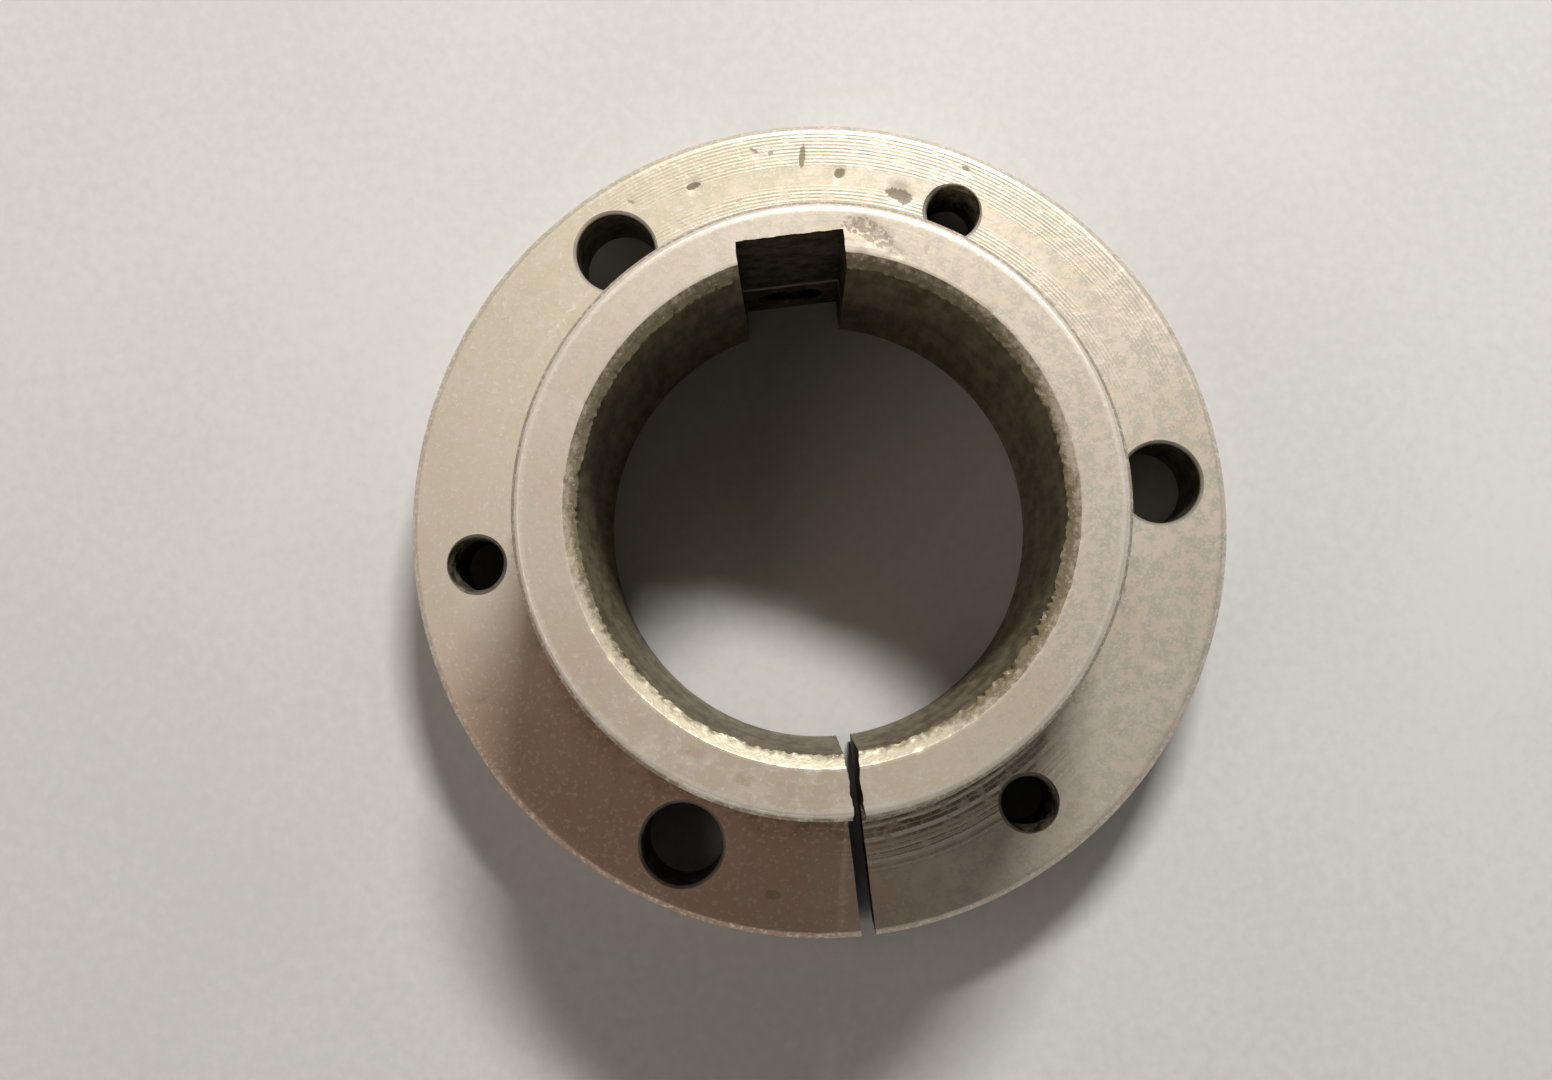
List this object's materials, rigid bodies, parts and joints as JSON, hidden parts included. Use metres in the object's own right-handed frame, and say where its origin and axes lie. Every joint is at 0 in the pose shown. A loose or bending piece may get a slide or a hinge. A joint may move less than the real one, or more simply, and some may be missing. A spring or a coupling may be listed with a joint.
{
  "type": "split taper flanged bushing",
  "caption": "Flanged, split, tapered hub bushing with a keyed bore, clearance and tapped jacking holes in its flange, and a set screw over the keyway.",
  "frame": {"origin": "centre of the bore on the flange's large face, which the bushing rests on", "axes": "+Z runs along the bore from the flange to the small end of the taper; +Y points from the bore through the keyway and the set screw; the saw slit is at -Y"},
  "size_m": [0.081, 0.081, 0.0333],
  "materials": {
    "turned_iron": "turned bare iron with light oil and rust staining",
    "black_oxide_steel": "black oxide alloy steel"
  },
  "bodies": {
    "bushing": {"split_bushing": "turned_iron"},
    "set_screw": {"key_set_screw": "black_oxide_steel"}
  },
  "joints": [
    {"name": "set_screw_travel", "type": "slide", "parent": "bushing", "child": "set_screw", "axis": [0, 1, 0], "range_m": [-0.0054, 0.0012]}
  ]
}
